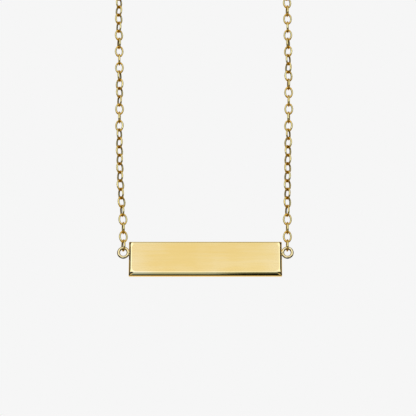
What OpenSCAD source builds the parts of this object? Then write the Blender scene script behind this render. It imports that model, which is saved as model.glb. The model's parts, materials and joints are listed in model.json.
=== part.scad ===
// Bar pendant on a fine cable chain, hanging as a closed loop.
// Millimetres. +Z is up, and the polished front faces -Y.
// The origin is the top centre of the loop, where it hangs.

/* [Bar] */
// Length of the bar
bar_len = 31; // [22:0.5:38]
// Height of the bar
bar_h = 7.1; // [5:0.1:10]
// Thickness of the bar
bar_t = 1.5; // [1.2:0.1:2.2]
// Radius of the bar's front edges
edge_r = 0.65; // [0.3:0.05:0.9]

/* [Rings on the bar] */
// Outer diameter of the ring soldered to each end
ring_d = 2.55; // [2.3:0.05:3.2]
// Wire thickness of that ring
ring_wire = 0.62; // [0.5:0.02:0.66]
// Depth of the ring's centre below the bar's top edge
ring_drop = 2.25; // [1.4:0.05:2.6]
// Depth that the ring is soldered into the end face
ring_sink = 0.15; // [0.1:0.05:0.3]

/* [Chain] */
// Number of links on each side
links = 99; // [69:2:111]
// Outer length of a link
link_len = 2.72; // [2.6:0.02:3]
// Outer width of a link
link_w = 1.92; // [1.8:0.02:2.1]
// Wire thickness of a link
link_wire = 0.38; // [0.34:0.01:0.41]
// Clear space between the wires of two links
link_gap = 0.12; // [0.11:0.01:0.16]

/* [Clasp] */
// Clear space between the wires of the clasp, its rings and the last links
clasp_gap = 0.18; // [0.12:0.02:0.2]
// Outer diameter of the clasp's ring
clasp_d = 5.5; // [5:0.1:7]
// Wire thickness of the clasp's ring
clasp_wire = 1.1; // [0.9:0.05:1.2]
// Outer diameter of the clasp's eyelet
eyelet_d = 2.1; // [2:0.05:2.6]
// Wire thickness of the eyelet
eyelet_wire = 0.5; // [0.4:0.02:0.54]
// Depth that the eyelet is soldered into the clasp's ring
eyelet_sink = 0.15; // [0.1:0.05:0.3]
// Outer diameter of the jump ring beside the clasp
jump_d = 2.7; // [2.6:0.05:3.2]
// Wire thickness of the jump ring
jump_wire = 0.45; // [0.36:0.01:0.48]
// Outer diameter of the ring that the clasp catches
end_d = 3.3; // [3.2:0.05:4]
// Wire thickness of the ring that the clasp catches
end_wire = 0.5; // [0.4:0.02:0.54]
// Diameter of the clasp's thumb knob
knob_d = 0.8; // [0.6:0.05:0.9]
// Height of the thumb knob above the clasp's ring
knob_h = 0.6; // [0.4:0.1:1]

/* [Hidden] */

gold = "#dcb65f";
wire_fn = 16;
bend_fn = 48;

// Lean of each strand: height above the end ring, and how far out the strand lies there
left_route = [[0, 0], [5, 0.1], [9, 0.45], [14, 0.85], [22, 1.15], [36, 1.3], [50, 1.7], [75, 1.7]];
right_route = [[0, 0], [8, 0.1], [14, 0.2], [22, 0.45], [30, 0.7], [44, 0.75], [60, 0.6], [90, 0.9]];
// Distance that both strands have moved out where the arch at the top begins
arch_lean = 1.4;
// Turn of the strand about its own line: number of the link, and degrees
left_twist = [[1, 22], [4, 8], [6, 36], [13, 46], [16, 86], [19, 134], [22, 178], [26, 206], [31, 240]];
right_twist = [[1, 5], [4, 6], [6, 36], [12, 45], [17, 88], [20, 98], [23, 148], [28, 180], [31, 205]];
full_twist = 270;
quarter_turn = 90;
// Turn of the thumb knob from the clasp's top
knob_turn = -30;

// Bar and its rings
ring_r = (ring_d - ring_wire) / 2;
ring_x = bar_len / 2 + ring_d / 2 - ring_sink;

// Chain
pitch = link_len - 2 * link_wire - link_gap;
bend_r = (link_w - link_wire) / 2;
leg = link_len - link_w;
reach = (link_len - link_wire) / 2;

// Height of the first link's centre above the wire that it holds
first_s = reach - (ring_wire + link_wire) / 2 - link_gap;

// Clasp, measured from the centre of its ring
clasp_r = (clasp_d - clasp_wire) / 2;
eyelet_r = (eyelet_d - eyelet_wire) / 2;
jump_r = (jump_d - jump_wire) / 2;
end_r = (end_d - end_wire) / 2;
eyelet_x = clasp_d / 2 + eyelet_d / 2 - eyelet_sink;
jump_s = eyelet_x + eyelet_r - (eyelet_wire + jump_wire) / 2 - clasp_gap + jump_r;
jump_link_s = jump_s + jump_r - (jump_wire + link_wire) / 2 - clasp_gap + reach;
end_s = clasp_r - (clasp_wire + end_wire) / 2 - clasp_gap + end_r;
end_link_s = end_s + end_r - (end_wire + link_wire) / 2 - clasp_gap + reach;
clasp_x = (jump_link_s - end_link_s) / 2;

// Loop: each side is a strand and a quarter of an arch, and the clasp lies level between them
clasp_half = (jump_link_s + end_link_s) / 2;
arch_r = ring_x + arch_lean - clasp_half;
strand_h = first_s + (links - 1) * pitch - arch_r * PI / 2;
hinge_z = -arch_r - strand_h;
bar_top = hinge_z - ring_r + ring_drop;

// Sideways place, height and tilt of the strand at a distance s above the end ring
function out(route, s) = ring_x + lookup(s, concat(route, [[strand_h, arch_lean]]));
function arch_turn(s) = (s - strand_h) / arch_r * 180 / PI;
function strand_x(route, s) = s < strand_h ? out(route, s) : clasp_half + arch_r * cos(arch_turn(s));
function strand_z(s) = s < strand_h ? hinge_z + s : -arch_r + arch_r * sin(arch_turn(s));
function strand_tilt(route, s) = s < strand_h
    ? atan((out(route, s + pitch / 2) - out(route, s - pitch / 2)) / pitch)
    : -arch_turn(s);
function twist(table, k) = lookup(k, concat(table, [[links, full_twist]]));

module on_strand(side, route, s) {
    translate([side * strand_x(route, s), 0, strand_z(s)])
        rotate([0, side * strand_tilt(route, s), 0])
            children();
}

// Ring lying in the plane of the loop, or across it
module wire_ring(r, wire) {
    rotate([90, 0, 0])
        rotate_extrude($fn = bend_fn)
            translate([r, 0])
                circle(d = wire, $fn = wire_fn);
}

// Half of a bent wire ring, open downwards
module bend(r, wire) {
    rotate([90, 0, 0])
        rotate_extrude(angle = 180, $fn = bend_fn)
            translate([r, 0])
                circle(d = wire, $fn = wire_fn);
}

// Oval link, standing up and seen face on
module link() {
    for (side = [-1, 1]) {
        translate([side * bend_r, 0, -leg / 2])
            cylinder(d = link_wire, h = leg, $fn = wire_fn);
    }
    translate([0, 0, leg / 2])
        bend(bend_r, link_wire);
    mirror([0, 0, 1])
        translate([0, 0, leg / 2])
            bend(bend_r, link_wire);
}

// One strand: each link is turned a quarter against the one below it
module strand(side, route, table) {
    for (k = [1 : links]) {
        on_strand(side, route, first_s + (k - 1) * pitch)
            rotate([0, 0, quarter_turn * k + twist(table, k)])
                link();
    }
}

// Outline across the bar, with its two front corners rounded
module edge_profile(width) {
    translate([edge_r - bar_t / 2, -width / 2])
        square([bar_t - edge_r, width]);
    translate([-bar_t / 2, edge_r - width / 2])
        square([edge_r, width - 2 * edge_r]);
    for (side = [-1, 1]) {
        translate([edge_r - bar_t / 2, side * (width / 2 - edge_r)])
            circle(r = edge_r, $fn = bend_fn);
    }
}

module bar_pendant() {
    color(gold) {
        translate([0, 0, bar_top - bar_h / 2])
            intersection() {
                translate([-bar_len / 2, 0, 0])
                    rotate([90, 0, 90])
                        linear_extrude(bar_len)
                            edge_profile(bar_h);
                translate([0, 0, -bar_h / 2])
                    rotate([0, 0, 90])
                        linear_extrude(bar_h)
                            edge_profile(bar_len);
            }
        for (side = [-1, 1]) {
            translate([side * ring_x, 0, hinge_z - ring_r])
                wire_ring(ring_r, ring_wire);
        }
    }
}

module chain_left() {
    color(gold)
        strand(-1, left_route, left_twist);
}

module chain_right() {
    color(gold)
        strand(1, right_route, right_twist);
}

// Ring, eyelet and thumb knob, closed and made as one
module spring_clasp() {
    color(gold)
        translate([clasp_x, 0, 0]) {
            wire_ring(clasp_r, clasp_wire);
            translate([-eyelet_x, 0, 0])
                wire_ring(eyelet_r, eyelet_wire);
            rotate([0, knob_turn, 0])
                translate([0, 0, clasp_r])
                    cylinder(d = knob_d, h = clasp_wire / 2 + knob_h, $fn = wire_fn);
        }
}

module clasp_jump_ring() {
    color(gold)
        translate([clasp_x - jump_s, 0, 0])
            rotate([90, 0, 0])
                wire_ring(jump_r, jump_wire);
}

module end_ring() {
    color(gold)
        translate([clasp_x + end_s, 0, 0])
            rotate([90, 0, 0])
                wire_ring(end_r, end_wire);
}

bar_pendant();
chain_left();
chain_right();
spring_clasp();
clasp_jump_ring();
end_ring();
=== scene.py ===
"""A bar pendant on its fine cable chain, in polished gold, set in a pale studio."""

import json
import math

import bmesh
import bpy
from bpy.props import FloatProperty, FloatVectorProperty, IntProperty, PointerProperty
from mathutils import Matrix, Vector


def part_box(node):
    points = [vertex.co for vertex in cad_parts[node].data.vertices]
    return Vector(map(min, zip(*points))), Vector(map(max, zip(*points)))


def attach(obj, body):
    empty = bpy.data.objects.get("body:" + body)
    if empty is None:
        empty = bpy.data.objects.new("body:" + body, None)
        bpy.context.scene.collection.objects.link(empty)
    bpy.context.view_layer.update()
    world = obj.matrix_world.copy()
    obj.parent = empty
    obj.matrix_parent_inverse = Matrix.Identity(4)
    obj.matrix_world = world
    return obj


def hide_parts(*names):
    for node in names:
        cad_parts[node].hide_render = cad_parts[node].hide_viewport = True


bl_info = {
    "name": "Bar Pendant",
    "version": (1, 0, 0),
    "blender": (4, 5, 0),
    "location": "3D View > Sidebar > Bar Pendant",
    "description": "Dresses a gold bar pendant on its cable chain and lights it in a pale studio",
    "category": "Object",
}

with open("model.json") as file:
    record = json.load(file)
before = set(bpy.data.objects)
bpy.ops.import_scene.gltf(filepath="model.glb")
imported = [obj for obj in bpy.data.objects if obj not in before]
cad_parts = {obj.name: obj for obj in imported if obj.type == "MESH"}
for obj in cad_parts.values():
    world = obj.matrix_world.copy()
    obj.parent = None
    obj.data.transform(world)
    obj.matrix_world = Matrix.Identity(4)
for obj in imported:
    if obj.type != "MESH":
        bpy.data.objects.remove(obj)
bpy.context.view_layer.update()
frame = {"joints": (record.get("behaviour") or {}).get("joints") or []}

MM = 0.001
HINGE = Vector(frame["joints"][0]["pos_m"])
BAR_LOW, BAR_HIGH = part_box("bar_pendant")
CLASP_LOW, CLASP_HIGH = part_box("spring_clasp")
JUMP_LOW, JUMP_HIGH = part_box("clasp_jump_ring")
END_LOW, END_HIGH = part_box("end_ring")

# Lean of each strand in millimetres: height above the bar's ring, distance out
LEFT_ROUTE = (
    (0, 0), (5, 0.1), (9, 0.45), (14, 0.85), (22, 1.15), (36, 1.3), (50, 1.7), (75, 1.7),
)
RIGHT_ROUTE = (
    (0, 0), (8, 0.1), (14, 0.2), (22, 0.45), (30, 0.7), (44, 0.75), (60, 0.6), (90, 0.9),
)
# Turn of each strand about its own line: number of the link, degrees
LEFT_TWIST = (
    (1, 22), (4, 8), (6, 36), (13, 46), (16, 86), (19, 134), (22, 178), (26, 206), (31, 240),
)
RIGHT_TWIST = (
    (1, 5), (4, 6), (6, 36), (12, 45), (17, 88), (20, 98), (23, 148), (28, 180), (31, 205),
)
FULL_TWIST = 270
QUARTER_TURN = 90
# A link's wire has six flat sides, and this much across they look as thick as round wire
LINK_SIDES = 6
SIX_SIDED = 1.08
# Steps along the gentle bend of a link's side, and round its end
SIDE_STEPS = 2
END_STEPS = 3
# Points nearer to each other than this are merged
MERGE = 0.0005 * MM
LINK_MERGE = 0.001 * MM


def distance(name, description, default):
    """A length given in millimetres, kept in metres."""
    return FloatProperty(
        name=name, description=description, default=default * MM, precision=5,
        unit="LENGTH", subtype="DISTANCE",
    )


def angle(name, description, default):
    """An angle given in degrees, kept in radians."""
    return FloatProperty(
        name=name, description=description, default=math.radians(default),
        unit="ROTATION", subtype="ANGLE",
    )


def colour(name, description, default):
    """A linear colour."""
    return FloatVectorProperty(
        name=name, description=description, default=default, size=3, min=0.0, max=1.0,
        subtype="COLOR",
    )


def factor(name, description, default):
    """A number from none to full."""
    return FloatProperty(
        name=name, description=description, default=default, min=0.0, max=1.0,
        subtype="FACTOR",
    )


class PENDANT_PG_bar(bpy.types.PropertyGroup):
    """Sizes of the bar and of the rings soldered to its ends."""

    length: distance("Bar length", "Length of the bar without its rings", 31.0)
    edge_radius: distance("Edge radius", "Rounding of the front edges", 0.72)
    face_corner: distance("Face corner", "Corner radius where the flat front ends", 0.9)
    outline_corner: distance("Outline corner", "Corner radius of the bar's outline", 0.12)
    back_edge: distance("Back edge", "Rounding of the back edges", 0.08)
    ring_diameter: distance("Ring diameter", "Outer diameter of the soldered rings", 2.55)
    ring_wire: distance("Ring wire", "Wire thickness of the soldered rings", 0.62)
    solder: distance("Solder", "Height of the solder between a ring and the bar", 0.9)


class PENDANT_PG_chain(bpy.types.PropertyGroup):
    """Sizes of the cable chain."""

    links: IntProperty(name="Links", description="Number of links a side", default=99, min=2)
    link_length: distance("Link length", "Outer length of a link in the frame", 2.72)
    link_width: distance("Link width", "Outer width of a link", 1.915)
    link_wire: distance("Link wire", "Wire thickness of a link", 0.38)
    end_bend: distance("End bend", "Radius of the wire's middle at a link's ends", 0.55)
    link_gap: distance("Link gap", "Space that the frame leaves between two links", 0.12)
    take_up: distance("Take-up", "How far a link's end draws in to touch the next link", 0.058)
    ring_take_up: distance("Ring take-up", "How far it draws in to touch the bar's ring", 0.09)
    clasp_take_up: distance("Clasp take-up", "How far it draws in at the clasp's rings", 0.0)
    arch_lean: distance("Arch lean", "How far a strand leans out where the arch begins", 1.4)
    clasp_half: distance("Clasp half", "Half the length between the two topmost links", 5.595)


class PENDANT_PG_clasp(bpy.types.PropertyGroup):
    """Sizes of the clasp and of the two rings beside it."""

    diameter: distance("Clasp diameter", "Outer diameter of the clasp's ring", 5.5)
    wire: distance("Clasp wire", "Wire thickness of the clasp's ring", 1.1)
    tongue: distance("Tongue", "Thickness of the sliding tongue", 0.74)
    mouth_from: angle("Mouth from", "Angle above the level where the tongue shows", 22)
    mouth_turn: angle("Mouth turn", "Length of the tongue that shows", 44)
    eyelet_diameter: distance("Eyelet diameter", "Outer diameter of the eyelet", 2.1)
    eyelet_wire: distance("Eyelet wire", "Wire thickness of the eyelet", 0.5)
    knob_diameter: distance("Knob diameter", "Diameter of the thumb knob", 0.8)
    knob_height: distance("Knob height", "How far the knob stands out of the ring", 0.6)
    knob_turn: angle("Knob turn", "Turn of the thumb knob from the top", -30)
    jump_wire: distance("Jump ring wire", "Wire thickness of the jump ring", 0.45)
    end_wire: distance("End ring wire", "Wire thickness of the end ring", 0.5)
    take_up: distance("Ring take-up", "How far both rings draw in, so that they touch", 0.18)
    cut: angle("Cut", "Width of the cut in the jump ring", 2.5)


class PENDANT_PG_finish(bpy.types.PropertyGroup):
    """Colours and polish of the gold, with the tones of its painted reflections and painted
    shade.
    """

    bar: colour("Bar gold", "Polished gold of the bar", (0.92, 0.673, 0.227))
    # Pale gold for random clouds and streaks, and for the painted reflection towards the bar's
    # ends
    bar_pale_and_reflection: colour("Pale bar gold", "Paler gold towards the bar's ends", (0.955, 0.764, 0.363))
    wire: colour("Wire gold", "Gold of the links and rings", (0.93, 0.8, 0.33))
    # Warm gold for random patches, and for the painted warm reflection where links meet
    warm_wire_and_reflection: colour("Warm wire gold", "Deeper gold where links meet", (0.9, 0.52, 0.06))
    # Painted shade on the side of a link's wire that faces into the link, and round the bar's
    # rings
    shade: colour("Shade", "Dark gold inside links and round the rings", (0.04, 0.025, 0.008))
    clasp: colour("Clasp gold", "Gold of the clasp", (0.95, 0.73, 0.31))
    bar_roughness: factor("Bar roughness", "Roughness of the polished bar", 0.09)
    wire_roughness: factor("Wire roughness", "Roughness of the drawn wire", 0.12)
    clasp_roughness: factor("Clasp roughness", "Roughness of the clasp", 0.14)


class PENDANT_PG_studio(bpy.types.PropertyGroup):
    """Camera, floor and light."""

    camera_distance: distance("Camera distance", "From the camera to what it looks at", 350.0)
    camera_elevation: angle("Camera elevation", "Angle of the camera above the level", -17)
    field: distance("Field", "Width of the picture at the bar", 84.2)
    aim_right: distance("Aim right", "Middle of the picture right of the bar's middle", 0.53)
    aim_up: distance("Aim up", "Middle of the picture above the bar's middle", 10.3)
    backdrop: factor("Backdrop", "Brightness of the backdrop", 0.9216)
    floor: colour("Floor", "Colour of the floor", (0.9, 0.9, 0.9))
    floor_drop: distance("Floor drop", "Depth of the floor below the bar", 250.0)
    floor_radius: distance("Floor radius", "Radius of the floor", 6000.0)


# ---- materials

def new_material(name):
    """An empty node material with a shader and an output."""
    material = bpy.data.materials.new(name)
    material.use_nodes = True
    nodes = material.node_tree.nodes
    nodes.clear()
    shader = nodes.new("ShaderNodeBsdfPrincipled")
    output = nodes.new("ShaderNodeOutputMaterial")
    output.location = (300, 0)
    material.node_tree.links.new(shader.outputs["BSDF"], output.inputs["Surface"])
    return material, shader


def pattern(tree, scale, detail, roughness=0.5):
    """Noise on object coordinates, with its own scale along each axis in waves a metre."""
    place = tree.nodes.new("ShaderNodeTexCoord")
    mapping = tree.nodes.new("ShaderNodeMapping")
    noise = tree.nodes.new("ShaderNodeTexNoise")
    mapping.inputs["Scale"].default_value = scale
    noise.inputs["Scale"].default_value = 1.0
    noise.inputs["Detail"].default_value = detail
    noise.inputs["Roughness"].default_value = roughness
    tree.links.new(place.outputs["Object"], mapping.inputs["Vector"])
    tree.links.new(mapping.outputs["Vector"], noise.inputs["Vector"])
    return noise.outputs["Fac"]


def spread(tree, value, low, high, from_low=0.3, from_high=0.7):
    """Bring a pattern's values into a range."""
    node = tree.nodes.new("ShaderNodeMapRange")
    node.inputs["From Min"].default_value = from_low
    node.inputs["From Max"].default_value = from_high
    node.inputs["To Min"].default_value = low
    node.inputs["To Max"].default_value = high
    tree.links.new(value, node.inputs["Value"])
    return node.outputs["Result"]


def relief(tree, shader, value, height, strength):
    """Raise a pattern on the surface by a height in metres."""
    node = tree.nodes.new("ShaderNodeBump")
    node.inputs["Strength"].default_value = strength
    node.inputs["Distance"].default_value = height
    tree.links.new(value, node.inputs["Height"])
    tree.links.new(node.outputs["Normal"], shader.inputs["Normal"])


def blend(tree, share, first, second):
    """Two colours, fixed or from other nodes, blended by a share from none to full."""
    node = tree.nodes.new("ShaderNodeMix")
    node.data_type = "RGBA"
    node.clamp_factor = True
    tree.links.new(share, node.inputs["Factor"])
    for side, tone in (("A", first), ("B", second)):
        if isinstance(tone, bpy.types.NodeSocket):
            tree.links.new(tone, node.inputs[side])
        else:
            node.inputs[side].default_value = (*tone, 1.0)
    return node.outputs["Result"]


def painted(tree, name):
    """The numbers that a mesh carries under a name, or none where it has no such numbers."""
    node = tree.nodes.new("ShaderNodeAttribute")
    node.attribute_name = name
    return node.outputs["Fac"]


def math_node(tree, operation, *values):
    """A node that works out one number from others."""
    node = tree.nodes.new("ShaderNodeMath")
    node.operation = operation
    for socket, value in zip(node.inputs, values):
        if isinstance(value, (int, float)):
            socket.default_value = value
        else:
            tree.links.new(value, socket)
    return node.outputs["Value"]


def tone_ramp(tree, value, stops, low, high):
    """A ramp of colours over a range of numbers."""
    node = tree.nodes.new("ShaderNodeValToRGB")
    node.color_ramp.interpolation = "LINEAR"
    elements = node.color_ramp.elements
    ready = len(elements)
    for index, (number, tone) in enumerate(stops):
        position = (number - low) / (high - low)
        stop = elements[index] if index < ready else elements.new(position)
        stop.position = position
        stop.color = (*tone, 1.0)
    tree.links.new(spread(tree, value, 0.0, 1.0, low, high), node.inputs["Fac"])
    return node.outputs["Color"]


# Patterns: waves a metre along each axis, levels of detail and how rough the detail is
CLOUDS = ((160, 160, 420), 2)
STREAKS = ((60, 60, 2600), 2)
POLISHING = ((90, 700, 1700), 4, 0.6)
PATCHES = ((900, 900, 900), 2)
RUBBING = ((5200, 5200, 5200), 3, 0.6)
FLOOR_GRAIN = ((40, 40, 40), 3)
# How far a pattern moves the share of the second gold
CLOUD_SHARE = 0.22
STREAK_SHARE = 0.14
PATCH_SHARE = 0.5
# Depth of the fine marks, and how strongly they show
POLISHING_DEPTH = 0.004 * MM
RUBBING_DEPTH = 0.006 * MM
RELIEF = 0.5
# Roughness from the smoothest to the roughest spot, as a share of the roughness set
BAR_ROUGH = (0.75, 1.3)
WIRE_ROUGH = (0.7, 1.4)
# Roughness of the floor itself, from its smoothest to its roughest spot
FLOOR_ROUGHNESS = (0.7, 0.85)

# Share of the pale gold, a painted reflection towards the bar's ends, by millimetres to the right
# of the bar's middle
PALE_REFLECTION_ALONG = (
    (-17.9, 0.8), (-15.2, 0.78), (-13.7, 0.66), (-10.2, 0.16), (-6.2, 0.02), (-2.1, 0.02),
    (2.0, 0.3), (6.0, 0.0), (10.1, 0.1), (13.6, 0.3), (15.2, 0.5), (17.9, 0.6),
)


def polished_bar_gold(finish):
    """Mirror gold with faint polishing marks, a painted pale reflection near its ends and painted
    shade round its rings.
    """
    material, shader = new_material("bar_gold")
    tree = material.node_tree
    shader.inputs["Metallic"].default_value = 1.0
    place = tree.nodes.new("ShaderNodeTexCoord")
    parts = tree.nodes.new("ShaderNodeSeparateXYZ")
    tree.links.new(place.outputs["Object"], parts.inputs["Vector"])
    stops = [(along * MM, (pale, pale, pale)) for along, pale in PALE_REFLECTION_ALONG]
    # Painted pale reflection towards the bar's ends
    ends = tone_ramp(tree, parts.outputs["X"], stops, BAR_LOW.x, BAR_HIGH.x)
    clouds = spread(tree, pattern(tree, *CLOUDS), -CLOUD_SHARE, CLOUD_SHARE)
    streaks = spread(tree, pattern(tree, *STREAKS), -STREAK_SHARE, STREAK_SHARE)
    share = math_node(tree, "ADD", math_node(tree, "ADD", ends, clouds), streaks)
    gold = blend(tree, share, finish.bar, finish.bar_pale_and_reflection)
    # Painted shade round the rings
    gold = blend(tree, painted(tree, "painted_shade"), gold, finish.shade)
    tree.links.new(gold, shader.inputs["Base Color"])
    marks = pattern(tree, *POLISHING)
    low, high = (finish.bar_roughness * share for share in BAR_ROUGH)
    tree.links.new(spread(tree, marks, low, high), shader.inputs["Roughness"])
    relief(tree, shader, marks, POLISHING_DEPTH, RELIEF)
    return material


def drawn_wire_gold(name, first, second, shade, rough):
    """Bright rubbed gold, warmer in random patches, with a painted warm reflection where links
    meet and painted shade on the inside of a link.
    """
    material, shader = new_material(name)
    tree = material.node_tree
    shader.inputs["Metallic"].default_value = 1.0
    patches = spread(tree, pattern(tree, *PATCHES), 0.0, PATCH_SHARE)
    # Random warm patches, and the painted warm reflection where links meet
    share = math_node(tree, "ADD", patches, painted(tree, "joint"))
    gold = blend(tree, share, first, second)
    # Painted shade on the side of a link's wire that faces into the link
    gold = blend(tree, painted(tree, "painted_shade"), gold, shade)
    tree.links.new(gold, shader.inputs["Base Color"])
    rubbing = pattern(tree, *RUBBING)
    low, high = (rough * share for share in WIRE_ROUGH)
    tree.links.new(spread(tree, rubbing, low, high), shader.inputs["Roughness"])
    relief(tree, shader, rubbing, RUBBING_DEPTH, RELIEF)
    return material


# ---- mesh helpers

def edges_of(verts):
    """Edges whose two ends are both among some vertices."""
    chosen = set(verts)
    return list({e for v in chosen for e in v.link_edges if e.other_vert(v) in chosen})


def wire_arc(bm, radius, wire, place, start=0.0, sweep=math.tau, steps=32, sides=12,
             capped=True):
    """Bend a round wire about the local Y axis, from +X up towards +Z."""
    known = set(bm.verts)
    whole = math.isclose(sweep, math.tau)
    section = bmesh.ops.create_circle(
        bm, segments=sides, radius=wire / 2,
        matrix=Matrix.Rotation(-start, 4, "Y") @ Matrix.Translation((radius, 0, 0)),
    )["verts"]
    bmesh.ops.spin(
        bm, geom=section + edges_of(section), cent=(0, 0, 0), axis=(0, -1, 0),
        angle=sweep, steps=steps, use_merge=whole,
    )
    grown = [v for v in bm.verts if v not in known]
    if capped and not whole:
        rims = [e for e in edges_of(grown) if e.is_boundary]
        bmesh.ops.holes_fill(bm, edges=rims, sides=0)
    bmesh.ops.transform(bm, matrix=place, verts=grown)
    return grown


def rounded_outline(bm, width, height, corner, depth, segments=8):
    """A rounded rectangle facing the front at a depth, with a set number of points."""
    known = set(bm.verts)
    upright = Matrix.Translation((0, depth, 0)) @ Matrix.Rotation(math.pi / 2, 4, "X")
    size = Matrix.Diagonal((width, height, 1, 1))
    corners = bmesh.ops.create_grid(
        bm, x_segments=1, y_segments=1, size=0.5, matrix=upright @ size,
    )["verts"]
    bmesh.ops.bevel(
        bm, geom=corners, offset=corner, offset_type="OFFSET", segments=segments,
        profile=0.5, affect="VERTICES", material=-1,
    )
    return [v for v in bm.verts if v not in known]


def finish_piece(name, bm, material, body, nodes, sharp=40):
    """Turn a mesh into a piece, smooth below an angle, that rides and stands for nodes."""
    bmesh.ops.remove_doubles(bm, verts=bm.verts, dist=MERGE)
    bmesh.ops.recalc_face_normals(bm, faces=bm.faces)
    mesh = bpy.data.meshes.new(name)
    bm.to_mesh(mesh)
    bm.free()
    mesh.shade_smooth()
    mesh.set_sharp_from_angle(angle=math.radians(sharp))
    mesh.materials.append(material)
    piece = bpy.data.objects.new(name, mesh)
    bpy.context.scene.collection.objects.link(piece)
    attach(piece, body)
    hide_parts(*nodes)


# ---- the bar

# Steps round the bar's front edge and round its back edge
FRONT_STEPS = 12
BACK_STEPS = 3
# Power that keeps the corners wide until late on the way round the front edge
LATE_CORNER = 4
# Inset of the flat front and back, which keeps their shading flat up to the edge
CAP_INSET = 0.04 * MM
# Depth of the solder in the bar's end, how far it reaches, and its share of the ring's wire
SOLDER_SUNK = 0.02 * MM
SOLDER_REACH = 0.4 * MM
SOLDER_SHARE = 0.62
# Darkest painted shade round the rings
RING_SHADE = 0.9


def bar_outlines(bar):
    """Inset, depth and corner radius of each outline from the flat front to the back."""
    front = BAR_LOW.y
    edge = bar.edge_radius
    outlines = []
    for step in range(FRONT_STEPS + 1):
        turn = math.pi / 2 * step / FRONT_STEPS
        inset = edge * (1 - math.sin(turn))
        narrowed = (bar.outline_corner - bar.face_corner) * math.sin(turn) ** LATE_CORNER
        corner = bar.face_corner + narrowed
        outlines.append((inset, front + edge * (1 - math.cos(turn)), corner))
    for step in range(BACK_STEPS + 1):
        turn = math.pi / 2 * step / BACK_STEPS
        inset = bar.back_edge * (1 - math.cos(turn))
        depth = BAR_HIGH.y - bar.back_edge * (1 - math.sin(turn))
        outlines.append((inset, depth, bar.outline_corner))
    return outlines


def add_bar_body(bm, bar):
    """The rectangular bar: a flat front with a wide rounding, straight sides, a flat back."""
    width = bar.length
    height = BAR_HIGH.z - BAR_LOW.z
    loops = [
        rounded_outline(bm, width - 2 * inset, height - 2 * inset, corner, depth)
        for inset, depth, corner in bar_outlines(bar)
    ]
    for verts in loops[1:-1]:
        faces = list({f for v in verts for f in v.link_faces})
        bmesh.ops.delete(bm, geom=faces, context="FACES_ONLY")
    for near, far in zip(loops, loops[1:]):
        bmesh.ops.bridge_loops(bm, edges=edges_of(near) + edges_of(far))
    for verts in (loops[0], loops[-1]):
        chosen = set(verts)
        cap = [f for f in bm.faces if chosen.issuperset(f.verts) and len(f.verts) > 4]
        bmesh.ops.inset_region(bm, faces=cap, thickness=CAP_INSET, use_even_offset=True)
    middle = Vector(((BAR_LOW.x + BAR_HIGH.x) / 2, 0, (BAR_LOW.z + BAR_HIGH.z) / 2))
    bmesh.ops.translate(bm, vec=middle, verts=bm.verts)


def add_ring(bm, bar, side, painted_shade):
    """One soldered ring, with painted shade where its wire turns away from the front."""
    radius = (bar.ring_diameter - bar.ring_wire) / 2
    middle = Vector((side * (BAR_HIGH.x - bar.ring_diameter / 2), 0, HINGE.z - radius))
    place = Matrix.Translation(middle)
    ring = wire_arc(bm, radius, bar.ring_wire, place, steps=40, sides=16)
    bm.normal_update()
    # Painted shade where the wire turns outward or inward in the ring's plane
    for vert in ring:
        outward = Vector((vert.co.x - middle.x, 0, vert.co.z - middle.z)).normalized()
        vert[painted_shade] = RING_SHADE * vert.normal.dot(outward) ** 2


def add_solder(bm, bar, side):
    """The small smooth seam of solder where a ring runs into the bar's end."""
    out = side * (bar.length / 2 - SOLDER_SUNK)
    up = HINGE.z - (bar.ring_diameter - bar.ring_wire) / 2
    place = Matrix.Translation((out, 0, up))
    shape = Matrix.Diagonal((SOLDER_REACH, bar.ring_wire * SOLDER_SHARE, bar.solder / 2, 1))
    bmesh.ops.create_uvsphere(bm, u_segments=20, v_segments=12, radius=1.0, matrix=place @ shape)


class PENDANT_OT_bar(bpy.types.Operator):
    """Make the polished bar with a soldered ring at each end"""

    bl_idname = "pendant.bar"
    bl_label = "Bar"

    def execute(self, context):
        bar = context.scene.pendant_bar
        bm = bmesh.new()
        painted_shade = bm.verts.layers.float.new("painted_shade")
        add_bar_body(bm, bar)
        for side in (-1, 1):
            add_ring(bm, bar, side, painted_shade)
            add_solder(bm, bar, side)
        gold = polished_bar_gold(context.scene.pendant_finish)
        finish_piece("polished_bar", bm, gold, "bar", ["bar_pendant"])
        return {"FINISHED"}


# ---- the chain

# Height on a link, as a share of half its length, where the painted warm reflection begins and
# how far on it is full, and the share of the painted shade that the warm reflection takes away
WARM_FROM = 0.4
WARM_OVER = 0.3
WARM_LIFTS = 0.4


def read_off(value, table):
    """The value beside a number in a table of pairs, straight between two pairs."""
    if value <= table[0][0]:
        return table[0][1]
    for (low, first), (high, second) in zip(table, table[1:]):
        if value <= high:
            return first + (second - first) * (value - low) / (high - low)
    return table[-1][1]


def strand_place(chain, route, side, along):
    """Middle and lean of one strand at a distance along it, from the bar's ring up."""
    ring_x = BAR_HIGH.x - bpy.context.scene.pendant_bar.ring_diameter / 2
    arch_radius = ring_x + chain.arch_lean - chain.clasp_half
    straight = -HINGE.z - arch_radius
    pitch = chain.link_length - 2 * chain.link_wire - chain.link_gap
    table = [(height * MM, ring_x + lean * MM) for height, lean in route]
    table.append((straight, ring_x + chain.arch_lean))
    if along < straight:
        out = read_off(along, table)
        rise = read_off(along + pitch / 2, table) - read_off(along - pitch / 2, table)
        return Vector((side * out, 0, HINGE.z + along)), side * math.atan(rise / pitch)
    turn = (along - straight) / arch_radius
    out = chain.clasp_half + arch_radius * math.cos(turn)
    return Vector((side * out, 0, arch_radius * (math.sin(turn) - 1))), -side * turn


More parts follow.
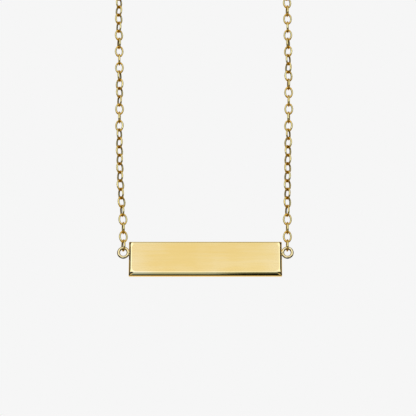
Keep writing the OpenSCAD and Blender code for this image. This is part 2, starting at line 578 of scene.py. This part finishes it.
def half_link(bm, chain, take_up, turn):
    """Upper or lower half of an oval link: an end bend between two gentle side bends."""
    wire = chain.link_wire * SIX_SIDED
    half_width = (chain.link_width - wire) / 2
    half_length = (chain.link_length - chain.link_wire) / 2 - take_up
    end = chain.end_bend
    side = (half_width ** 2 + half_length ** 2 - 2 * half_length * end) / (half_width - end) / 2
    lean = math.atan2(half_length - end, side - half_width)
    bends = (
        ((half_width - side, 0), side, 0.0, lean, SIDE_STEPS),
        ((0, half_length - end), end, lean, math.pi - 2 * lean, END_STEPS),
        ((side - half_width, 0), side, math.pi - lean, lean, SIDE_STEPS),
    )
    for (x, z), radius, start, sweep, steps in bends:
        place = Matrix.Rotation(turn, 4, "Y") @ Matrix.Translation((x, 0, z))
        wire_arc(bm, radius, wire, place, start, sweep, steps, LINK_SIDES, capped=False)


def link_mesh(chain, below, above):
    """One upright oval link of round wire, with its two ends drawn in."""
    bm = bmesh.new()
    half_link(bm, chain, above, 0.0)
    half_link(bm, chain, below, math.pi)
    bmesh.ops.remove_doubles(bm, verts=bm.verts, dist=LINK_MERGE)
    bmesh.ops.recalc_face_normals(bm, faces=bm.faces)
    bm.normal_update()
    joint = bm.verts.layers.float.new("joint")
    painted_shade = bm.verts.layers.float.new("painted_shade")
    # Painted warm reflection towards a link's ends, where links meet, and painted shade on the
    # side of the wire that faces into the link, with less shade where the warm reflection lies
    for vert in bm.verts:
        outward = Vector((vert.co.x, 0, vert.co.z)).normalized()
        height = abs(vert.co.z) / (chain.link_length / 2)
        warm = min(1.0, max(0.0, (height - WARM_FROM) / WARM_OVER))
        vert[joint] = warm
        vert[painted_shade] = (1.0 - WARM_LIFTS * warm) * max(0.0, -vert.normal.dot(outward))
    mesh = bpy.data.meshes.new("link")
    bm.to_mesh(mesh)
    bm.free()
    return mesh


def chain_strand(name, context, side, route, twist, node):
    """One side of the loop: links turned a quarter against each other along the route."""
    chain = context.scene.pendant_chain
    pitch = chain.link_length - 2 * chain.link_wire - chain.link_gap
    reach = (chain.link_length - chain.link_wire) / 2
    ring_wire = context.scene.pendant_bar.ring_wire
    first = reach - (ring_wire + chain.link_wire) / 2 - chain.link_gap
    turns = twist + ((chain.links, FULL_TWIST),)
    usual = link_mesh(chain, chain.take_up, chain.take_up)
    lowest = link_mesh(chain, chain.ring_take_up, chain.take_up)
    highest = link_mesh(chain, chain.take_up, chain.clasp_take_up)
    bm = bmesh.new()
    for number in range(1, chain.links + 1):
        known = len(bm.verts)
        mesh = {1: lowest, chain.links: highest}.get(number, usual)
        bm.from_mesh(mesh)
        bm.verts.ensure_lookup_table()
        point, lean = strand_place(chain, route, side, first + (number - 1) * pitch)
        spin = math.radians(QUARTER_TURN * number + read_off(number, turns))
        place = (Matrix.Translation(point) @ Matrix.Rotation(lean, 4, "Y")
                 @ Matrix.Rotation(spin, 4, "Z"))
        bmesh.ops.transform(bm, matrix=place, verts=bm.verts[known:])
    for mesh in (usual, lowest, highest):
        bpy.data.meshes.remove(mesh)
    finish = context.scene.pendant_finish
    gold = bpy.data.materials.get("wire_gold") or drawn_wire_gold(
        "wire_gold", finish.wire, finish.warm_wire_and_reflection, finish.shade, finish.wire_roughness,
    )
    finish_piece(name, bm, gold, "chain", [node], sharp=100)


class PENDANT_OT_chain(bpy.types.Operator):
    """Make the links of both strands, from the bar's rings up to the clasp"""

    bl_idname = "pendant.chain"
    bl_label = "Chain"

    def execute(self, context):
        chain_strand("left_links", context, -1, LEFT_ROUTE, LEFT_TWIST, "chain_left")
        chain_strand("right_links", context, 1, RIGHT_ROUTE, RIGHT_TWIST, "chain_right")
        return {"FINISHED"}


# ---- the clasp

# The knob's post and head, as shares of the knob's diameter and of its whole height
POST_RADIUS = 0.32
POST_HEIGHT = 0.8
HEAD_HEIGHT = 0.36
HEAD_MIDDLE = 0.82
HEAD_ROUNDING = 0.12 * MM
# Angle in radians that the tongue runs on into the tube at both ends
TONGUE_TUCKED = 0.1
# Angle round the jump ring where its cut lies
CUT_AT = math.radians(70)


def add_post(bm, radius, height, middle, segments):
    """An upright round post about a height."""
    return bmesh.ops.create_cone(
        bm, cap_ends=True, segments=segments, radius1=radius, radius2=radius, depth=height,
        matrix=Matrix.Translation((0, 0, middle)),
    )["verts"]


def add_knob(bm, clasp, ring_radius):
    """The thumb knob: a short post with a rounded head, turned round the clasp's ring."""
    known = set(bm.verts)
    width = clasp.knob_diameter
    height = clasp.wire / 2 + clasp.knob_height
    add_post(bm, width * POST_RADIUS, height * POST_HEIGHT, height * POST_HEIGHT / 2, 20)
    head = add_post(bm, width / 2, height * HEAD_HEIGHT, height * HEAD_MIDDLE, 24)
    rims = [e for e in edges_of(head) if any(len(f.verts) > 4 for f in e.link_faces)]
    bmesh.ops.bevel(
        bm, geom=rims, offset=HEAD_ROUNDING, offset_type="OFFSET", segments=3, profile=0.5,
        affect="EDGES", material=-1,
    )
    grown = [v for v in bm.verts if v not in known]
    place = Matrix.Rotation(clasp.knob_turn, 4, "Y") @ Matrix.Translation((0, 0, ring_radius))
    bmesh.ops.transform(bm, matrix=place, verts=grown)
    return grown


class PENDANT_OT_clasp(bpy.types.Operator):
    """Make the spring ring clasp: its tube, tongue, thumb knob and eyelet"""

    bl_idname = "pendant.clasp"
    bl_label = "Clasp"

    def execute(self, context):
        clasp = context.scene.pendant_clasp
        finish = context.scene.pendant_finish
        bm = bmesh.new()
        ring_radius = (clasp.diameter - clasp.wire) / 2
        ring_x = CLASP_HIGH.x - clasp.diameter / 2
        place = Matrix.Translation((ring_x, 0, 0))
        wire_arc(bm, ring_radius, clasp.wire, place, start=clasp.mouth_from + clasp.mouth_turn,
                 sweep=math.tau - clasp.mouth_turn, steps=56, sides=24)
        wire_arc(bm, ring_radius, clasp.tongue, place, start=clasp.mouth_from - TONGUE_TUCKED,
                 sweep=clasp.mouth_turn + 2 * TONGUE_TUCKED, steps=12, sides=20)
        knob = add_knob(bm, clasp, ring_radius)
        bmesh.ops.translate(bm, vec=(ring_x, 0, 0), verts=knob)
        eyelet_radius = (clasp.eyelet_diameter - clasp.eyelet_wire) / 2
        eyelet_x = CLASP_LOW.x + clasp.eyelet_diameter / 2
        wire_arc(bm, eyelet_radius, clasp.eyelet_wire, Matrix.Translation((eyelet_x, 0, 0)),
                 steps=32, sides=14)
        gold = drawn_wire_gold(
            "clasp_gold", finish.clasp, finish.wire, finish.shade, finish.clasp_roughness,
        )
        finish_piece("clasp", bm, gold, "chain", ["spring_clasp"])
        return {"FINISHED"}


class PENDANT_OT_rings(bpy.types.Operator):
    """Make the jump ring on the eyelet and the ring that the clasp catches"""

    bl_idname = "pendant.rings"
    bl_label = "Clasp rings"

    def execute(self, context):
        clasp = context.scene.pendant_clasp
        gold = bpy.data.materials["clasp_gold"]
        lying = Matrix.Rotation(math.pi / 2, 4, "X")
        jump_radius = (JUMP_HIGH.x - JUMP_LOW.x - clasp.jump_wire) / 2 - clasp.take_up
        jump_x = (JUMP_HIGH.x + JUMP_LOW.x) / 2
        bm = bmesh.new()
        wire_arc(bm, jump_radius, clasp.jump_wire, Matrix.Translation((jump_x, 0, 0)) @ lying,
                 start=CUT_AT, sweep=math.tau - clasp.cut, steps=36, sides=14)
        finish_piece("jump_ring", bm, gold, "chain", ["clasp_jump_ring"])
        end_radius = (END_HIGH.x - END_LOW.x - clasp.end_wire) / 2 - clasp.take_up
        end_x = (END_HIGH.x + END_LOW.x) / 2
        bm = bmesh.new()
        wire_arc(bm, end_radius, clasp.end_wire, Matrix.Translation((end_x, 0, 0)) @ lying,
                 steps=40, sides=14)
        finish_piece("catch_ring", bm, gold, "chain", ["end_ring"])
        return {"FINISHED"}


# ---- the studio

# Linear tones that the gold mirrors. Round: degrees up from straight ahead of the bar,
# over the top to 180 and underneath to -180, for its face and its long edges
LEFT_ROUND = (
    (-180, (0.5, 0.5, 0.5)), (-172, (1.15, 0.9, 0.38)), (-156, (1.2, 0.86, 0.28)),
    (-148, (0.03, 0.02, 0.01)), (-140, (0.006, 0.005, 0.003)), (-80, (0.006, 0.005, 0.003)),
    (-68, (0.4, 0.5, 0.68)), (-16, (0.48, 0.62, 0.9)), (-6, (1.15, 1.3, 2.0)),
    (10, (1.15, 1.3, 2.0)), (16, (0.89, 0.885, 0.92)), (20, (0.89, 0.89, 0.94)),
    (26, (0.94, 1.0, 1.2)), (56, (0.93, 1.0, 1.2)), (76, (0.66, 0.68, 0.72)),
    (125, (0.58, 0.58, 0.58)), (180, (0.5, 0.5, 0.5)),
)
RIGHT_ROUND = (
    (-180, (0.5, 0.5, 0.5)), (-172, (1.1, 0.9, 0.48)), (-156, (1.1, 0.88, 0.38)),
    (-148, (0.02, 0.015, 0.008)), (-140, (0.005, 0.004, 0.003)), (-70, (0.005, 0.004, 0.003)),
    (-56, (0.06, 0.07, 0.06)), (-20, (0.12, 0.16, 0.19)), (-8, (0.5, 0.62, 0.82)),
    (2, (1.1, 1.25, 1.9)), (12, (1.1, 1.25, 1.9)), (17, (0.86, 0.87, 0.93)),
    (26, (0.96, 1.02, 1.25)), (58, (0.95, 1.02, 1.25)), (76, (0.62, 0.64, 0.68)),
    (125, (0.54, 0.54, 0.54)), (180, (0.5, 0.5, 0.5)),
)
# Sideways: degrees from straight ahead to straight behind, for its short edges and the wire
LEFT_SIDE = (
    (0, (1.25, 1.4, 1.8)), (46, (1.25, 1.4, 1.8)), (54, (0.02, 0.015, 0.008)),
    (90, (0.02, 0.015, 0.008)), (103, (0.55, 0.46, 0.26)), (118, (0.55, 0.46, 0.26)),
    (138, (0.72, 0.67, 0.56)), (180, (0.72, 0.67, 0.56)),
)
RIGHT_SIDE = (
    (0, (1.25, 1.4, 1.8)), (45, (1.25, 1.4, 1.8)), (53, (0.015, 0.012, 0.006)),
    (93, (0.015, 0.012, 0.006)), (106, (0.5, 0.43, 0.26)), (120, (0.5, 0.43, 0.26)),
    (138, (0.72, 0.67, 0.56)), (180, (0.72, 0.67, 0.56)),
)
# The X of a direction where the left tones give way to the right ones
ROUND_MEETS = (0.01, 0.03)
SIDES_MEET = (-0.2, 0.2)
# How far sideways the round tones give way to the side ones
ROUND_TO_SIDE = (0.22, 0.36)
# Tones low at the sides, a dark flag and then a panel: colour, and from full to none, the Z
# of a direction and its degrees from straight ahead
LOW_TONES = (
    ((0.012, 0.009, 0.006), (-0.18, -0.08), (100, 125)),
    ((0.66, 0.62, 0.54), (-0.48, -0.45), (48, 52)),
)
# Lamps for the floor: name, place in metres, width in metres, watts
LAMPS = (
    ("key", (-1.5, -2.7, 2.6), 1.6, 60),
    ("fill", (2.7, 1.5, 2.6), 1.8, 60),
)


def studio_world(studio):
    """Soft panels ahead and above, dark flags beside and under them, pale gold behind."""
    world = bpy.data.worlds.new("studio")
    world.use_nodes = True
    tree = world.node_tree
    tree.nodes.clear()
    place = tree.nodes.new("ShaderNodeTexCoord")
    parts = tree.nodes.new("ShaderNodeSeparateXYZ")
    tree.links.new(place.outputs["Generated"], parts.inputs["Vector"])
    ahead = math_node(tree, "MULTIPLY", parts.outputs["Y"], -1.0)
    sideways = math_node(tree, "ABSOLUTE", parts.outputs["X"])
    rise = math_node(tree, "DEGREES", math_node(tree, "ARCTAN2", parts.outputs["Z"], ahead))
    turn = math_node(tree, "DEGREES", math_node(tree, "ARCTAN2", sideways, ahead))
    right_of_bar = spread(tree, parts.outputs["X"], 0.0, 1.0, *ROUND_MEETS)
    right_side = spread(tree, parts.outputs["X"], 0.0, 1.0, *SIDES_MEET)
    beside = spread(tree, sideways, 0.0, 1.0, *ROUND_TO_SIDE)
    round_tone = blend(
        tree, right_of_bar, tone_ramp(tree, rise, LEFT_ROUND, -180, 180),
        tone_ramp(tree, rise, RIGHT_ROUND, -180, 180),
    )
    side_tone = blend(
        tree, right_side, tone_ramp(tree, turn, LEFT_SIDE, 0, 180),
        tone_ramp(tree, turn, RIGHT_SIDE, 0, 180),
    )
    for tone, depth, width in LOW_TONES:
        under = spread(tree, parts.outputs["Z"], 1.0, 0.0, *depth)
        in_front = spread(tree, turn, 1.0, 0.0, *width)
        share = math_node(tree, "MULTIPLY", under, in_front)
        side_tone = blend(tree, share, side_tone, tone)
    seen = tree.nodes.new("ShaderNodeBackground")
    seen.inputs["Color"].default_value = (studio.backdrop, studio.backdrop, studio.backdrop, 1)
    lit = tree.nodes.new("ShaderNodeBackground")
    tree.links.new(blend(tree, beside, round_tone, side_tone), lit.inputs["Color"])
    rays = tree.nodes.new("ShaderNodeLightPath")
    choice = tree.nodes.new("ShaderNodeMixShader")
    output = tree.nodes.new("ShaderNodeOutputWorld")
    tree.links.new(rays.outputs["Is Camera Ray"], choice.inputs["Fac"])
    tree.links.new(lit.outputs["Background"], choice.inputs[1])
    tree.links.new(seen.outputs["Background"], choice.inputs[2])
    tree.links.new(choice.outputs["Shader"], output.inputs["Surface"])
    bpy.context.scene.world = world


def soft_light(name, place, target, width, power):
    """A square soft light, pointed at a place, that neither camera nor gold sees."""
    light = bpy.data.lights.new(name, "AREA")
    light.shape = "SQUARE"
    light.size = width
    light.energy = power
    lamp = bpy.data.objects.new(name, light)
    bpy.context.scene.collection.objects.link(lamp)
    lamp.location = place
    lamp.rotation_euler = (target - Vector(place)).to_track_quat("-Z", "Y").to_euler()
    lamp.visible_camera = False
    lamp.visible_glossy = False


def add_camera(studio, bar_middle):
    """The camera: below the bar, looking slightly up, with the bar low in the picture."""
    turn = Matrix.Rotation(math.pi / 2 - studio.camera_elevation, 3, "X")
    right = turn @ Vector((1, 0, 0))
    up = turn @ Vector((0, 1, 0))
    back = turn @ Vector((0, 0, 1))
    aim = bar_middle + right * studio.aim_right + up * studio.aim_up
    lens = bpy.data.cameras.new("camera")
    lens.sensor_width = 36
    lens.sensor_fit = "HORIZONTAL"
    lens.angle = 2 * math.atan(studio.field / 2 / studio.camera_distance)
    lens.clip_start = 0.01
    lens.clip_end = 50
    camera = bpy.data.objects.new("camera", lens)
    bpy.context.scene.collection.objects.link(camera)
    camera.rotation_euler = turn.to_euler()
    camera.location = aim + back * studio.camera_distance
    bpy.context.scene.camera = camera


def add_floor(studio):
    """A wide plain pale floor well below the pendant."""
    bm = bmesh.new()
    level = BAR_LOW.z - studio.floor_drop
    bmesh.ops.create_circle(
        bm, cap_ends=True, segments=64, radius=studio.floor_radius,
        matrix=Matrix.Translation((0, 0, level)),
    )
    mesh = bpy.data.meshes.new("floor")
    bm.to_mesh(mesh)
    bm.free()
    material, shader = new_material("floor_paint")
    tree = material.node_tree
    shader.inputs["Base Color"].default_value = (*studio.floor, 1.0)
    grain = pattern(tree, *FLOOR_GRAIN)
    tree.links.new(spread(tree, grain, *FLOOR_ROUGHNESS), shader.inputs["Roughness"])
    mesh.materials.append(material)
    floor = bpy.data.objects.new("floor", mesh)
    bpy.context.scene.collection.objects.link(floor)
    floor.visible_glossy = False


class PENDANT_OT_studio(bpy.types.Operator):
    """Set the camera, the pale floor and the soft light"""

    bl_idname = "pendant.studio"
    bl_label = "Studio"

    def execute(self, context):
        studio = context.scene.pendant_studio
        bar_middle = (BAR_LOW + BAR_HIGH) / 2
        add_camera(studio, bar_middle)
        add_floor(studio)
        studio_world(studio)
        for name, place, width, power in LAMPS:
            soft_light(name, place, bar_middle, width, power)
        context.scene.view_settings.view_transform = "Standard"
        return {"FINISHED"}


# ---- the sidebar

class PENDANT_PT_sidebar(bpy.types.Panel):
    """Buttons and sizes for the bar pendant"""

    bl_label = "Bar Pendant"
    bl_space_type = "VIEW_3D"
    bl_region_type = "UI"
    bl_category = "Bar Pendant"

    def draw(self, context):
        for operator, group in STEPS:
            box = self.layout.box()
            box.operator(operator)
            sizes = getattr(context.scene, group)
            for name in sizes.bl_rna.properties.keys():
                if name not in ("rna_type", "name"):
                    box.prop(sizes, name)


STEPS = (
    ("pendant.bar", "pendant_bar"),
    ("pendant.chain", "pendant_chain"),
    ("pendant.clasp", "pendant_clasp"),
    ("pendant.rings", "pendant_finish"),
    ("pendant.studio", "pendant_studio"),
)
GROUPS = {
    "pendant_bar": PENDANT_PG_bar,
    "pendant_chain": PENDANT_PG_chain,
    "pendant_clasp": PENDANT_PG_clasp,
    "pendant_finish": PENDANT_PG_finish,
    "pendant_studio": PENDANT_PG_studio,
}
CLASSES = (
    *GROUPS.values(), PENDANT_OT_bar, PENDANT_OT_chain, PENDANT_OT_clasp, PENDANT_OT_rings,
    PENDANT_OT_studio, PENDANT_PT_sidebar,
)


def register():
    for item in CLASSES:
        bpy.utils.register_class(item)
    for name, group in GROUPS.items():
        setattr(bpy.types.Scene, name, PointerProperty(type=group))


def unregister():
    for name in GROUPS:
        delattr(bpy.types.Scene, name)
    for item in reversed(CLASSES):
        bpy.utils.unregister_class(item)


def main():
    register()
    bpy.ops.pendant.bar()
    bpy.ops.pendant.chain()
    bpy.ops.pendant.clasp()
    bpy.ops.pendant.rings()
    bpy.ops.pendant.studio()


if __name__ == "__main__":
    main()
